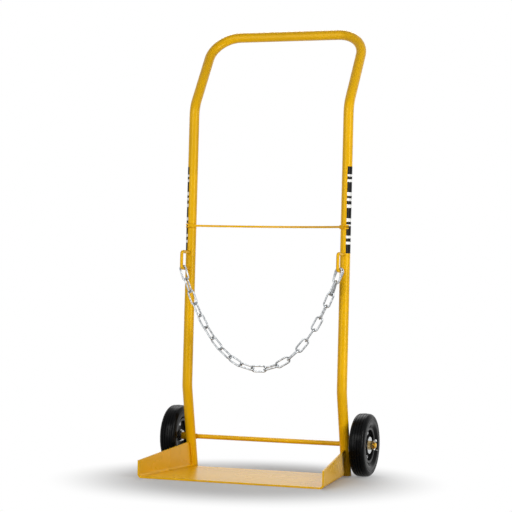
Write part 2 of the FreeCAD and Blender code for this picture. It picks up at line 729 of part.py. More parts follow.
def rim_half(name, side, face):
    """Pressed dish: a flat disc, a seat for the tyre and a lip; two stand back to back."""
    body = new_body(name)
    flip = "" if face > 0 else "-"

    def at(along):
        return "%s(%s)" % (flip, along)

    seat = "rim_diameter / 2"
    bore = "hub_diameter / 2 + hub_play"
    points = [("0", bore), ("0", seat), (at("rim_seat"), seat), (at("rim_seat"), seat + " + rim_lip"),
              (at("rim_seat + rim_sheet"), seat + " + rim_lip"),
              (at("rim_seat + rim_sheet"), seat + " - rim_sheet"),
              (at("rim_sheet"), seat + " - rim_sheet"), (at("rim_sheet"), bore)]
    dish = revolve(body, name + "_dish", points)
    edges = ring_edges(dish, [(at("rim_sheet"), seat + " - rim_sheet")])
    bent = round_edges(body, name + "_bend", dish, edges, "rim_bend")
    edges = ring_edges(bent, [(at("rim_seat + rim_sheet"), seat + " - rim_sheet")])
    round_edges(body, name + "_lip", bent, edges, "rim_sheet - rim_play")
    holes = new_sketch(body, name + "_hole", "YZ_Plane")
    circle(holes, "bolt_diameter / 2 + bolt_play", "bolt_circle / 2", "0")
    hole = pocket(body, name + "_drill", holes)
    polar(body, name + "_holes", [hole], "X_Axis", RIM_BOLTS)
    place(body, wheel_place(side))


def hub_sleeve(name, side):
    body = new_body(name)
    end = "(hub_length / 2)"
    revolve(body, name + "_tube", [("-" + end, "hub_bore / 2"), (end, "hub_bore / 2"),
                                   (end, "hub_diameter / 2"), ("-" + end, "hub_diameter / 2")])
    place(body, wheel_place(side))


def bush(name, side, face):
    """Flanged bearing bush pressed into one end of the hub."""
    body = new_body(name)
    flip = "" if face > 0 else "-"
    bore = "axle_diameter / 2 + bush_play"
    barrel = "hub_bore / 2 - hub_play"
    root = flip + "(hub_length / 2 - bush_length)"
    end = flip + "(hub_length / 2)"
    rim = flip + "(hub_length / 2 + bush_flange)"
    revolve(body, name + "_barrel", [(root, bore), (rim, bore), (rim, "bush_flange_diameter / 2"),
                                     (end, "bush_flange_diameter / 2"), (end, barrel), (root, barrel)])
    place(body, wheel_place(side))


def rim_bolts(name, side):
    """Hexagon bolts that clamp the two rim halves, heads on the inner side."""
    body = new_body(name)
    body.AllowCompound = True
    heads = new_sketch(body, name + "_head", "YZ_Plane")
    bind(heads, "AttachmentOffset.Base.z", "-rim_sheet - bolt_head")
    hexagon(heads, "bolt_flats", "bolt_circle / 2")
    head = pad(body, name + "_heads", heads, "bolt_head")
    shanks = new_sketch(body, name + "_shank", "YZ_Plane")
    bind(shanks, "AttachmentOffset.Base.z", "-rim_sheet")
    circle(shanks, "bolt_diameter / 2", "bolt_circle / 2", "0")
    shank = pad(body, name + "_shanks", shanks, "rim_sheet * 2 + bolt_nut + bolt_tail")
    polar(body, name + "_ring", [head, shank], "X_Axis", RIM_BOLTS)
    place(body, wheel_place(side))


def rim_nuts(name, side):
    body = new_body(name)
    body.AllowCompound = True
    nuts = new_sketch(body, name + "_flats", "YZ_Plane")
    bind(nuts, "AttachmentOffset.Base.z", "rim_sheet")
    hexagon(nuts, "bolt_flats", "bolt_circle / 2")
    circle(nuts, "bolt_diameter / 2 + nut_play", "bolt_circle / 2", "0")
    nut = pad(body, name + "_nut", nuts, "bolt_nut")
    polar(body, name + "_ring", [nut], "X_Axis", RIM_BOLTS)
    place(body, wheel_place(side))


# Chain

WIRE = size("chain_wire")
PITCH = size("chain_pitch") - size("chain_play")


def chain_link(name, centre, along, flat):
    """Oval ring of round wire: long axis along, ring facing flat."""
    body = new_body(name)
    path = new_sketch(body, name + "_path", "XY_Plane")
    rise = "(chain_inner + chain_wire) / 2"
    run = "(chain_pitch - chain_inner) / 2"
    radius = value(rise)
    half = value(run)
    pieces = [Part.LineSegment(Vector(0, radius, 0), Vector(half, radius, 0)),
              Part.Arc(Vector(half, radius, 0), Vector(half + radius, 0, 0), Vector(half, -radius, 0)),
              Part.LineSegment(Vector(half, -radius, 0), Vector(-half, -radius, 0)),
              Part.Arc(Vector(-half, -radius, 0), Vector(-half - radius, 0, 0), Vector(-half, radius, 0)),
              Part.LineSegment(Vector(-half, radius, 0), Vector(0, radius, 0))]
    geos = [path.addGeometry(piece, False) for piece in pieces]
    for one, other in zip(geos, geos[1:] + geos[:1]):
        end_one, end_other = shared_ends(path, one, other)
        path.addConstraint(Sketcher.Constraint("Coincident", one, end_one, other, end_other))
    hold_point(path, geos[0], 1, "0", rise)
    hold_point(path, geos[0], 2, run, rise)
    hold_point(path, geos[2], 1, run, "-(%s)" % rise)
    hold_point(path, geos[2], 2, "-(%s)" % run, "-(%s)" % rise)
    hold_point(path, geos[4], 1, "-(%s)" % run, rise)
    for arc, text in ((geos[1], run), (geos[3], "-(%s)" % run)):
        index = path.addConstraint(Sketcher.Constraint("DistanceX", -1, 1, arc, 3, value(text)))
        bind(path, "Constraints[%d]" % index, text)
    wire_pipe(body, name + "_ring", path, "chain_wire / 2", rise, "0")
    side = flat.cross(along).normalize()
    place(body, Placement(centre, Rotation(along, side, flat, "XYZ")))


# The chain's pull and lift are sought between these shares of a link's weight.
PULL_SHARES = (0.01, 100.0)
LIFT_SHARE = 4.0
HALVINGS = 80


def hang(start, end, lengths):
    """Joint points of a hanging chain whose links all weigh the same."""
    level = Vector(end.x - start.x, end.y - start.y, 0)
    span = level.Length
    level.normalize()
    drop = end.z - start.z

    def reach(pull, lift):
        across = 0.0
        fall = 0.0
        slopes = []
        for index, length in enumerate(lengths):
            slope = math.atan2(lift + (2 * index + 1) / 2, pull)
            slopes.append(slope)
            across += length * math.cos(slope)
            fall += length * math.sin(slope)
        return across, fall, slopes

    def settle(pull):
        high = LIFT_SHARE * len(lengths)
        low = -high
        for step in range(HALVINGS):
            lift = (low + high) / 2
            if reach(pull, lift)[1] < drop:
                low = lift
            else:
                high = lift
        return lift

    low, high = PULL_SHARES
    for step in range(HALVINGS):
        pull = math.sqrt(low * high)
        if reach(pull, settle(pull))[0] < span:
            low = pull
        else:
            high = pull
    slopes = reach(pull, settle(pull))[2]
    points = [start]
    for length, slope in zip(lengths, slopes):
        step = level * (length * math.cos(slope)) + Vector(0, 0, length * math.sin(slope))
        points.append(points[-1] + step)
    return points


def square_to(along, wish):
    """The direction nearest to a wish that is square to a link."""
    return (wish - along * along.dot(wish)).normalize()


def eye_point(side, across, up):
    """Point beside a chain eye: across from its upright's axis, up from its middle."""
    height = size("eye_height")
    upright = -(size("eye_reach") - size("eye_rod") / 2)
    local = MAST_TURN.multVec(across + Vector(0, upright, up))
    return Vector(side * HALF, mast_y(height), height) + local


# Degrees that the hanging run is twisted in its middle.
CHAIN_TWIST = 25.0


def chain():
    """Links from the left eye to the right one, the last two doubled side by side."""
    play = size("chain_play")
    leg = (size("eye_span") - size("eye_rod")) / 2
    back = Vector(0, size("eye_bend") + WIRE / 2 + play, 0)
    apart = Vector(0, size("double_spacing") / 2, 0)
    hook = eye_point(-1, back, -leg)
    hold = eye_point(1, back + apart, -leg)

    # Where two links share the top of one, they lie lower in it than one would.
    inner = (size("chain_inner") - WIRE) / 2
    split = (WIRE + play) / 2
    crowd = inner - math.sqrt(inner * inner - split * split) + play
    seat = PITCH - size("eye_rod") / 2 - play
    lean = math.sqrt(PITCH * PITCH - apart.y * apart.y)
    lengths = [seat] + [PITCH] * (HANGING_LINKS - 2) + [PITCH - crowd, lean, seat]
    joints = hang(hook, hold, lengths)
    ways = [(high - low).normalize() for low, high in zip(joints, joints[1:])]
    for index in range(HANGING_LINKS):
        along = ways[index]
        anchor = joints[index + 1] - along * PITCH if index == 0 else joints[index]
        swirl = CHAIN_TWIST * math.sin(math.pi * index / (HANGING_LINKS - 1))
        twist = math.radians(90 * (index % 2) + swirl)
        across = square_to(along, Vector(0, 1, 0))
        flat = across * math.cos(twist) + along.cross(across) * math.sin(twist)
        chain_link("chain_link_%02d" % (index + 1), anchor + along * (PITCH / 2), along, flat)

    # The run swings about the line through its two end wires.
    crown = PITCH + (WIRE + play) / 2
    first = joints[1] - ways[0] * crown
    last = joints[HANGING_LINKS - 1] + ways[HANGING_LINKS - 1] * crown
    print("hinge", first, last)

    knot = joints[HANGING_LINKS]
    number = HANGING_LINKS
    for way in (-1, 1):
        side = ways[-1].cross(apart).normalize() * (split * way)
        low = joints[HANGING_LINKS + 1] + side + apart * way
        lift = (low - knot - side).normalize()
        chain_link("chain_link_%02d" % (number + 1), (knot + side + low) * 0.5, lift,
                   square_to(lift, side))
        rise = (hold + apart * way - low).normalize()
        chain_link("chain_link_%02d" % (number + 2), low + rise * (PITCH / 2), rise,
                   square_to(rise, apart))
        number += 2


def build():
    frame_tube()
    toe_plate()
    cradle_bar()
    axle()
    for name, side in (("left", -1), ("right", 1)):
        chain_eye(name + "_chain_eye", side)
        axle_collar(name + "_axle_collar", side)
        washer(name + "_inner_washer", side, INNER_END + " - washer_thickness", "washer_inner")
        washer(name + "_outer_washer", side, OUTER_END, "washer_outer")
        axle_nut(name + "_axle_nut", side)
        split_pin(name + "_split_pin", side)
        tyre(name + "_tyre", side)
        rim_half(name + "_outer_rim", side, 1)
        rim_half(name + "_inner_rim", side, -1)
        hub_sleeve(name + "_hub_sleeve", side)
        bush(name + "_outer_bush", side, 1)
        bush(name + "_inner_bush", side, -1)
        rim_bolts(name + "_rim_bolts", side)
        rim_nuts(name + "_rim_nuts", side)
    chain()
    doc.recompute()


def write():
    """Check every object, then write one file for each piece."""
    for thing in doc.Objects:
        if "Invalid" in thing.State or "Error" in thing.State:
            raise RuntimeError("%s: %s" % (thing.Name, thing.State))
    for thing in NODES:
        if thing.Shape.isNull() or not thing.Shape.isValid():
            raise RuntimeError(thing.Label + " has no valid shape")
    os.makedirs("parts", exist_ok=True)
    for thing in NODES:
        thing.Shape.exportStep("parts/%s.step" % thing.Label)
    print(len(NODES), "pieces")


build()
print("axle", AXLE_Y)
write()
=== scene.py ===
import json
import math
import bmesh
import bpy
from mathutils import Matrix, Vector

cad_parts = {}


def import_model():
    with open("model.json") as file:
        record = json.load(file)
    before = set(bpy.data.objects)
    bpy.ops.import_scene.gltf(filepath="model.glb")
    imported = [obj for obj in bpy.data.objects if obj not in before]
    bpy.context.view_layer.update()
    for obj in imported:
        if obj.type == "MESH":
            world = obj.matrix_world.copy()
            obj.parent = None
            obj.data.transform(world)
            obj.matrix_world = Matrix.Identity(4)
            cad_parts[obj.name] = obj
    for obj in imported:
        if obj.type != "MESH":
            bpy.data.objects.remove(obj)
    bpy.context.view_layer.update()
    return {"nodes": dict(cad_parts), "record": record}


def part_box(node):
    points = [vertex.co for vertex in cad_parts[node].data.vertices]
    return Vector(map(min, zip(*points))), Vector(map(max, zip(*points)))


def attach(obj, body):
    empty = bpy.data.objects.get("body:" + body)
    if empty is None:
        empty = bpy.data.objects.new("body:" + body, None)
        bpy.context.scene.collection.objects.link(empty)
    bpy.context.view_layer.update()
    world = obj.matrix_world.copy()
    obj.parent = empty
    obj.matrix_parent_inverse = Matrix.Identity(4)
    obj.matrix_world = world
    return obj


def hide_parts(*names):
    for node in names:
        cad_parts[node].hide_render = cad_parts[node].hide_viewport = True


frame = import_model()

# Gas cylinder trolley. Metres, in the shared frame: +X the trolley's right,
# -Y its front, +Z up, floor at Z = 0.

MM = 0.001
LEFT = -1
RIGHT = 1
SIDES = (LEFT, RIGHT)
NODES = frame["nodes"]
BODIES = frame["record"]["behaviour"]["bodies"]
BODY_OF = {node: body for body, nodes in BODIES.items() for node in nodes}
SLOT_OF = {entry["node"]: entry["material_slot"] for entry in frame["record"]["subparts"]}

# The frame tube's line and what is welded to it, as in the part.
TUBE_RADIUS = 12.7 * MM
TUBE_X = 206.0 * MM
FOOT_Y = 80.45 * MM
KNEE_Y = 31.45 * MM
KNEE_Z = 211.0 * MM
BEND_Y = 51.45 * MM
BEND_Z = 923.0 * MM
CRADLE_Z = 619.0 * MM
EYE_Z = 530.0 * MM
EYE_LEG = 21.0 * MM
EYE_ROD_RADIUS = 4.0 * MM
AXLE_RADIUS = 6.0 * MM

# Label films: heights, angles round the tube from front to rear in degrees, and the
# black bars as shares of the film's length.
LABEL_LOW = 554.0 * MM
LABEL_HIGH = 769.0 * MM
LABEL_FRONT = -68
LABEL_REAR = 40
LABEL_LIFT = 0.2 * MM
LABEL_ROWS = 24
LABEL_COLUMNS = 16
LABEL_BAR_SHARES = [(0.0, 0.1), (0.13, 0.17), (0.2, 0.31), (0.33, 0.36), (0.4, 0.52),
                    (0.56, 0.6), (0.63, 0.66), (0.7, 0.82), (0.85, 0.88), (0.91, 1.0)]


def mast_y(height):
    """Y of the tube's axis between its knee and its handle bend."""
    return KNEE_Y + (BEND_Y - KNEE_Y) / (BEND_Z - KNEE_Z) * (height - KNEE_Z)


def leg_y(height):
    """Y of the tube's axis below its knee."""
    return FOOT_Y - (FOOT_Y - KNEE_Y) / KNEE_Z * height


def spread(start, stop, steps):
    """Evenly spaced values from start to stop, both included."""
    return [start + (stop - start) * index / steps for index in range(steps + 1)]


def new_object(name, data):
    """A new object in the scene, at the origin."""
    piece = bpy.data.objects.new(name, data)
    bpy.context.scene.collection.objects.link(piece)
    return piece


# Materials

def linear(code):
    """sRGB hex to linear colour."""
    channels = [int(code[i:i + 2], 16) / 255 for i in (1, 3, 5)]
    return [c / 12.92 if c <= 0.04045 else ((c + 0.055) / 1.055) ** 2.4 for c in channels] + [1.0]


def add(tree, kind, links=None, stops=(), **settings):
    """Add a node, set its properties, inputs and colour stops, and link sockets into it."""
    node = tree.nodes.new(kind)
    for key, setting in settings.items():
        if hasattr(node, key):
            setattr(node, key, setting)
        else:
            node.inputs[key.replace("_", " ")].default_value = setting
    for name, socket in (links or {}).items():
        tree.links.new(socket, node.inputs[name])
    if stops:
        elements = node.color_ramp.elements
        while len(elements) < len(stops):
            elements.new(0.5)
        for element, (position, code) in zip(elements, stops):
            element.position = position
            element.color = linear(code)
    return node


def new_material(name):
    """A new material with its node tree and its shader."""
    material = bpy.data.materials.new(name)
    material.use_nodes = True
    tree = material.node_tree
    return material, tree, tree.nodes["Principled BSDF"]


def powder_coat():
    """Sprayed and baked polyester powder: even golden yellow, warm-tinted gloss, faint orange peel.

    Real peel is 1 to 3 mm wide, too fine to show in the render, so it is drawn 12 mm wide.
    """
    cloud_width = 110 * MM
    peel_width = 12 * MM
    peel_depth = 0.4 * MM
    material, tree, shader = new_material("powder_coat_baked")
    place = add(tree, "ShaderNodeTexCoord").outputs["Object"]
    cloud = add(tree, "ShaderNodeTexNoise", {"Vector": place}, Scale=1 / cloud_width, Detail=3.0)
    tint = add(tree, "ShaderNodeValToRGB", {"Fac": cloud.outputs["Fac"]},
               stops=[(0.3, "#DDA702"), (0.7, "#E6AF06")])
    peel = add(tree, "ShaderNodeTexNoise", {"Vector": place}, Scale=1 / peel_width, Detail=1.0)
    bump = add(tree, "ShaderNodeBump", {"Height": peel.outputs["Fac"]}, Strength=0.012, Distance=peel_depth)
    gloss = add(tree, "ShaderNodeMapRange", {"Value": cloud.outputs["Fac"]}, To_Min=0.24, To_Max=0.3)
    tree.links.new(tint.outputs["Color"], shader.inputs["Base Color"])
    tree.links.new(gloss.outputs["Result"], shader.inputs["Roughness"])
    tree.links.new(bump.outputs["Normal"], shader.inputs["Normal"])
    shader.inputs["IOR"].default_value = 1.4
    shader.inputs["Specular Tint"].default_value = linear("#FFEE95")
    return material


def moulded_rubber():
    """Vulcanised black rubber from a mould: deep black with a satin sheen and a pitted skin.

    Real pits are under 1 mm wide, too fine to show in the render, so they are drawn 5 mm wide.
    """
    dust_width = 28 * MM
    pit_width = 5 * MM
    pit_depth = 0.3 * MM
    material, tree, shader = new_material("moulded_black_rubber")
    place = add(tree, "ShaderNodeTexCoord").outputs["Object"]
    dust = add(tree, "ShaderNodeTexNoise", {"Vector": place}, Scale=1 / dust_width, Detail=6.0)
    tint = add(tree, "ShaderNodeValToRGB", {"Fac": dust.outputs["Fac"]},
               stops=[(0.35, "#040405"), (0.75, "#09090A")])
    skin = add(tree, "ShaderNodeTexNoise", {"Vector": place}, Scale=1 / pit_width, Detail=2.0)
    bump = add(tree, "ShaderNodeBump", {"Height": skin.outputs["Fac"]}, Strength=0.2, Distance=pit_depth)
    rough = add(tree, "ShaderNodeMapRange", {"Value": dust.outputs["Fac"]}, To_Min=0.18, To_Max=0.3)
    tree.links.new(tint.outputs["Color"], shader.inputs["Base Color"])
    tree.links.new(rough.outputs["Result"], shader.inputs["Roughness"])
    tree.links.new(bump.outputs["Normal"], shader.inputs["Normal"])
    shader.inputs["IOR"].default_value = 1.16
    return material


def black_enamel():
    """Stoved enamel on pressed steel: black, half gloss, slightly wavy."""
    wave_width = 6 * MM
    wave_depth = 0.4 * MM
    material, tree, shader = new_material("stoved_black_enamel")
    place = add(tree, "ShaderNodeTexCoord").outputs["Object"]
    wave = add(tree, "ShaderNodeTexNoise", {"Vector": place}, Scale=1 / wave_width, Detail=2.0)
    tint = add(tree, "ShaderNodeValToRGB", {"Fac": wave.outputs["Fac"]},
               stops=[(0.3, "#0A0A0B"), (0.7, "#121213")])
    bump = add(tree, "ShaderNodeBump", {"Height": wave.outputs["Fac"]}, Strength=0.05, Distance=wave_depth)
    tree.links.new(tint.outputs["Color"], shader.inputs["Base Color"])
    tree.links.new(bump.outputs["Normal"], shader.inputs["Normal"])
    shader.inputs["Roughness"].default_value = 0.36
    shader.inputs["IOR"].default_value = 1.35
    return material


def zinc_plate(name, dark, light, roughness, patch_width):
    """Zinc plating on steel: metal whose crystals dull it in patches a few millimetres wide."""
    patch_depth = 0.3 * MM
    material, tree, shader = new_material(name)
    place = add(tree, "ShaderNodeTexCoord").outputs["Object"]
    bloom = add(tree, "ShaderNodeTexNoise", {"Vector": place}, Scale=1 / patch_width, Detail=4.0)
    tint = add(tree, "ShaderNodeValToRGB", {"Fac": bloom.outputs["Fac"]},
               stops=[(0.32, dark), (0.68, light)])
    rough = add(tree, "ShaderNodeMapRange", {"Value": bloom.outputs["Fac"]},
                To_Min=roughness[0], To_Max=roughness[1])
    bump = add(tree, "ShaderNodeBump", {"Height": bloom.outputs["Fac"]}, Strength=0.06, Distance=patch_depth)
    tree.links.new(tint.outputs["Color"], shader.inputs["Base Color"])
    tree.links.new(rough.outputs["Result"], shader.inputs["Roughness"])
    tree.links.new(bump.outputs["Normal"], shader.inputs["Normal"])
    shader.inputs["Metallic"].default_value = 1.0
    return material


def black_nylon():
    """Moulded nylon: black, satin, lightly grained.

    Real grain is under 1 mm wide, too fine to show in the render, so it is drawn 4 mm wide.
    """
    grain_width = 4 * MM
    grain_depth = 0.1 * MM
    material, tree, shader = new_material("moulded_black_nylon")
    place = add(tree, "ShaderNodeTexCoord").outputs["Object"]
    grain = add(tree, "ShaderNodeTexNoise", {"Vector": place}, Scale=1 / grain_width, Detail=2.0)
    tint = add(tree, "ShaderNodeValToRGB", {"Fac": grain.outputs["Fac"]},
               stops=[(0.3, "#19191A"), (0.7, "#232324")])
    bump = add(tree, "ShaderNodeBump", {"Height": grain.outputs["Fac"]}, Strength=0.08, Distance=grain_depth)
    tree.links.new(tint.outputs["Color"], shader.inputs["Base Color"])
    tree.links.new(bump.outputs["Normal"], shader.inputs["Normal"])
    shader.inputs["Roughness"].default_value = 0.45
    return material


def label_vinyl():
    """Printed self-adhesive vinyl: white film with plain black bars, smooth and satin."""
    stops = []
    for start, stop in LABEL_BAR_SHARES:
        stops += [(start, "#121212"), (stop, "#E9E9E5")]
    material, tree, shader = new_material("printed_white_vinyl")
    place = add(tree, "ShaderNodeTexCoord").outputs["Object"]
    height = add(tree, "ShaderNodeSeparateXYZ", {"Vector": place}).outputs["Z"]
    share = add(tree, "ShaderNodeMapRange", {"Value": height}, From_Min=LABEL_LOW, From_Max=LABEL_HIGH)
    bars = add(tree, "ShaderNodeValToRGB", {"Fac": share.outputs["Result"]}, stops=stops)
    bars.color_ramp.interpolation = "CONSTANT"
    tree.links.new(bars.outputs["Color"], shader.inputs["Base Color"])
    shader.inputs["Roughness"].default_value = 0.35
    shader.inputs["IOR"].default_value = 1.2
    return material


PAINT = powder_coat()
VINYL = label_vinyl()
SLOT_FINISH = {
    "powder_coat": PAINT,
    "tyre_rubber": moulded_rubber(),
    "rim_enamel": black_enamel(),
    "zinc_chain": zinc_plate("zinc_plated_chain_wire", "#787B7E", "#BEC1C3", (0.22, 0.38), 5 * MM),
    "zinc_steel": zinc_plate("bright_zinc_plate", "#A9ABAC", "#D2D4D4", (0.2, 0.36), 4 * MM),
    "yellow_zinc": zinc_plate("yellow_passivated_zinc", "#B08A45", "#D8C08A", (0.22, 0.38), 5 * MM),
    "bush_nylon": black_nylon(),
}


# Pieces from the solids: merged and shaded smooth

MERGE_GAP = 0.002 * MM
SHORTEST_EDGE = 0.001 * MM
SHARP = math.radians(32)


def dress(node):
    """A merged copy of a solid, shaded smooth up to its sharp edges, stands for it."""
    mesh = NODES[node].data.copy()
    work = bmesh.new()
    work.from_mesh(mesh)
    bmesh.ops.remove_doubles(work, verts=work.verts, dist=MERGE_GAP)
    bmesh.ops.dissolve_degenerate(work, edges=work.edges, dist=SHORTEST_EDGE)
    for face in work.faces:
        face.smooth = True
    for edge in work.edges:
        edge.smooth = len(edge.link_faces) != 2 or edge.calc_face_angle(0.0) < SHARP
    work.to_mesh(mesh)
    work.free()
    mesh.materials.clear()
    mesh.materials.append(SLOT_FINISH[SLOT_OF[node]])
    piece = new_object("look_" + node, mesh)
    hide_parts(node)
    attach(piece, BODY_OF[node])


for name in NODES:
    dress(name)


# Weld beads: overlapping ripples laid along the seams of the frame

RIPPLE_SIZE_SHARES = (0.85, 1.12)
RIPPLE_SEED = 7
RIPPLE_SUBDIVISIONS = 2
CRADLE_SEAM_STEPS = 24
EYE_SEAM_STEPS = 28
PLATE_SEAM_STEPS = 23


def bead_tree():
    """Ripples of weld metal, uneven in size, set along a path and made one mesh."""
    tree = bpy.data.node_groups.new("weld_bead", "GeometryNodeTree")
    sockets = tree.interface
    sockets.new_socket("Geometry", in_out="INPUT", socket_type="NodeSocketGeometry")
    sockets.new_socket("Ripple spacing", in_out="INPUT", socket_type="NodeSocketFloat")
    sockets.new_socket("Ripple radius", in_out="INPUT", socket_type="NodeSocketFloat")
    sockets.new_socket("Finish", in_out="INPUT", socket_type="NodeSocketMaterial")
    sockets.new_socket("Geometry", in_out="OUTPUT", socket_type="NodeSocketGeometry")
    given = add(tree, "NodeGroupInput")
    path = add(tree, "GeometryNodeMeshToCurve", {"Mesh": given.outputs["Geometry"]})
    steps = add(tree, "GeometryNodeResampleCurve",
                {"Curve": path.outputs["Curve"], "Length": given.outputs["Ripple spacing"]}, mode="LENGTH")
    ripple = add(tree, "GeometryNodeMeshIcoSphere", {"Radius": given.outputs["Ripple radius"]},
                 Subdivisions=RIPPLE_SUBDIVISIONS)
    uneven = add(tree, "FunctionNodeRandomValue", data_type="FLOAT")
    for name, kind, number in (("Min", "VALUE", RIPPLE_SIZE_SHARES[0]),
                               ("Max", "VALUE", RIPPLE_SIZE_SHARES[1]),
                               ("Seed", "INT", RIPPLE_SEED)):
        # The node has a Min and a Max for each kind of number, so the kind picks the right one.
        socket = next(each for each in uneven.inputs if each.name == name and each.type == kind)
        socket.default_value = number
    share = next(each for each in uneven.outputs if each.type == "VALUE")
    laid = add(tree, "GeometryNodeInstanceOnPoints",
               {"Points": steps.outputs["Curve"], "Instance": ripple.outputs["Mesh"], "Scale": share})
    real = add(tree, "GeometryNodeRealizeInstances", {"Geometry": laid.outputs["Instances"]})
    smooth = add(tree, "GeometryNodeSetShadeSmooth", {"Geometry": real.outputs["Geometry"]})
    dressed = add(tree, "GeometryNodeSetMaterial",
                  {"Geometry": smooth.outputs["Geometry"], "Material": given.outputs["Finish"]})
    add(tree, "NodeGroupOutput", {"Geometry": dressed.outputs["Geometry"]})
    return tree


BEAD = bead_tree()


def weld(name, seams, radius, spacing):
    """Lay ripples along seams and turn them into one plain mesh on the frame."""
    points = []
    edges = []
    for seam in seams:
        first = len(points)
        points += seam
        edges += [(first + step, first + step + 1) for step in range(len(seam) - 1)]
    paths = bpy.data.meshes.new(name + "_paths")
    paths.from_pydata(points, edges, [])
    piece = new_object(name, paths)
    bead = piece.modifiers.new("bead", "NODES")
    bead.node_group = BEAD
    keys = {item.name: item.identifier for item in BEAD.interface.items_tree if item.in_out == "INPUT"}
    bead[keys["Ripple spacing"]] = spacing
    bead[keys["Ripple radius"]] = radius
    bead[keys["Finish"]] = PAINT
    view = bpy.context.evaluated_depsgraph_get()
    baked = bpy.data.meshes.new_from_object(piece.evaluated_get(view))
    piece.modifiers.clear()
    piece.data = baked
    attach(piece, "frame")


def cradle_seams():
    """Arcs on the front of each tube, above and below the cradle bar (0 degrees = +X, 90 = +Y)."""
    lift = 3.2 * MM
    stand_off = 1.0 * MM
    radius = TUBE_RADIUS + stand_off
    turns = {LEFT: (230, 340), RIGHT: (200, 310)}
    seams = []
    for side in SIDES:
        for height in (CRADLE_Z - lift, CRADLE_Z + lift):
            arc = []
            for degrees in spread(*turns[side], CRADLE_SEAM_STEPS):
                angle = math.radians(degrees)
                arc.append(Vector((side * TUBE_X + radius * math.cos(angle),
                                   mast_y(height) + radius * math.sin(angle), height)))
            seams.append(arc)
    return seams


def eye_seams():
    """Rings round the rod ends of the chain eyes, just off the front of the tubes."""
    stand_off = 0.4 * MM
    margin = 0.3 * MM
    radius = EYE_ROD_RADIUS + margin
    facing = Vector((0, 1, 0)).to_track_quat("Z", "Y")
    seams = []
    for side in SIDES:
        for height in (EYE_Z - EYE_LEG, EYE_Z + EYE_LEG):
            middle = Vector((side * TUBE_X, mast_y(height) - TUBE_RADIUS - stand_off, height))
            seams.append([middle + facing @ Vector((radius * math.cos(turn), radius * math.sin(turn), 0))
                          for turn in spread(0, 2 * math.pi, EYE_SEAM_STEPS)])
    return seams


def toe_plate_seams():
    """Two lines up the front of each tube, at the plate's upturned side, and one on the plate inside it."""
    low = 6 * MM
    high = 64 * MM
    half_gap = 2.8 * MM
    line_share = 1.01
    inset = 2 * MM
    foot_z = 5 * MM
    inner_z = 5.4 * MM
    # Way inwards in millimetres, and way in front of the tube's axis as a share of its radius.
    inner_points = ((0, 1.03), (3, 1.01), (6, 0.96), (9, 0.84), (11, 0.68))
    seams = []
    for side in SIDES:
        for offset in (-half_gap, half_gap):
            seams.append([Vector((side * TUBE_X + offset, leg_y(height) - TUBE_RADIUS * line_share, height))
                          for height in spread(low, high, PLATE_SEAM_STEPS)])
        seams.append([Vector((side * (TUBE_X - inset - inwards * MM),
                              leg_y(foot_z) - TUBE_RADIUS * share, inner_z))
                      for inwards, share in inner_points])
    return seams


def axle_seams():
    """Lines above and below the axle, where it crosses the back of each tube."""
    # Reach to each side in millimetres, and how far a line falls back for each of them.
    reach = 9
    fall = 0.22
    front_share = 0.72
    height_share = 0.86
    low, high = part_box("axle")
    front_y = (low[1] + high[1]) / 2 - AXLE_RADIUS * front_share
    axle_z = (low[2] + high[2]) / 2
    seams = []
    for side in SIDES:
        for lift in (-1, 1):
            height = axle_z + lift * AXLE_RADIUS * height_share
            seams.append([Vector((side * TUBE_X + x * MM, front_y + abs(x) * fall * MM, height))
                          for x in range(-reach, reach + 1)])
    return seams


weld("cradle_welds", cradle_seams(), radius=2.3 * MM, spacing=1.5 * MM)
weld("eye_welds", eye_seams(), radius=1.8 * MM, spacing=1.3 * MM)
weld("toe_plate_welds", toe_plate_seams(), radius=2.0 * MM, spacing=1.4 * MM)
weld("axle_welds", axle_seams(), radius=1.9 * MM, spacing=1.4 * MM)


# Plain label strips on the outer sides of both tubes

def label(name, side):
    """Thin film bent round the tube, a fifth of a millimetre off the paint."""
    radius = TUBE_RADIUS + LABEL_LIFT
    work = bmesh.new()
    rows = []
    for height in spread(LABEL_LOW, LABEL_HIGH, LABEL_ROWS):
        row = []
        for degrees in spread(LABEL_FRONT, LABEL_REAR, LABEL_COLUMNS):
            angle = math.radians(degrees)
            row.append(work.verts.new((side * (TUBE_X + radius * math.cos(angle)),
                                       mast_y(height) + radius * math.sin(angle), height)))
        rows.append(row)
    for low, high in zip(rows, rows[1:]):
        for a, b, c, d in zip(low, low[1:], high[1:], high):
            corners = (a, b, c, d) if side == RIGHT else (d, c, b, a)
            work.faces.new(corners).smooth = True
    mesh = bpy.data.meshes.new(name)
    work.to_mesh(mesh)
    work.free()
    mesh.materials.append(VINYL)
    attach(new_object(name, mesh), "frame")


label("left_label", LEFT)
label("right_label", RIGHT)


# Floor, light and camera

WHITE = linear("#FFFFFF")
WORLD_LIGHT = 0.16

# The floor's grey is a painted shadow pool round a point just in front of the trolley: grey within the first
# distance of that point and white past the second. The lamps' real shadows fall on it as well.
SHADOW_POOL_MIDDLE = (0.02, -0.12, 0.0)
SHADOW_POOL_FADE = (0.2, 0.5)
FLOOR_RADIUS = 6.0
FLOOR_SIDES = 96
FLOOR_DROP = 0.2 * MM

# The camera was fitted to the photograph; its angles are in degrees, its lens and sensor in mm.
CAMERA_PLACE = (1.4847, -4.1147, 0.5279)
CAMERA_TURN = 20.01
CAMERA_CLIMB = 0.21
CAMERA_ROLL = 0.92
CAMERA_LENS = 123.4
CAMERA_SENSOR = 36.0


def seen_directly(tree):
    """1 where the camera, a mirroring surface or glass looks, 0 where light is only passed on."""
    path = add(tree, "ShaderNodeLightPath")
    mirrored = add(tree, "ShaderNodeMath",
                   {0: path.outputs["Is Camera Ray"], 1: path.outputs["Is Glossy Ray"]}, operation="MAXIMUM")
    through = add(tree, "ShaderNodeMath",
                  {0: mirrored.outputs["Value"], 1: path.outputs["Is Transmission Ray"]}, operation="MAXIMUM")
    return through.outputs["Value"]


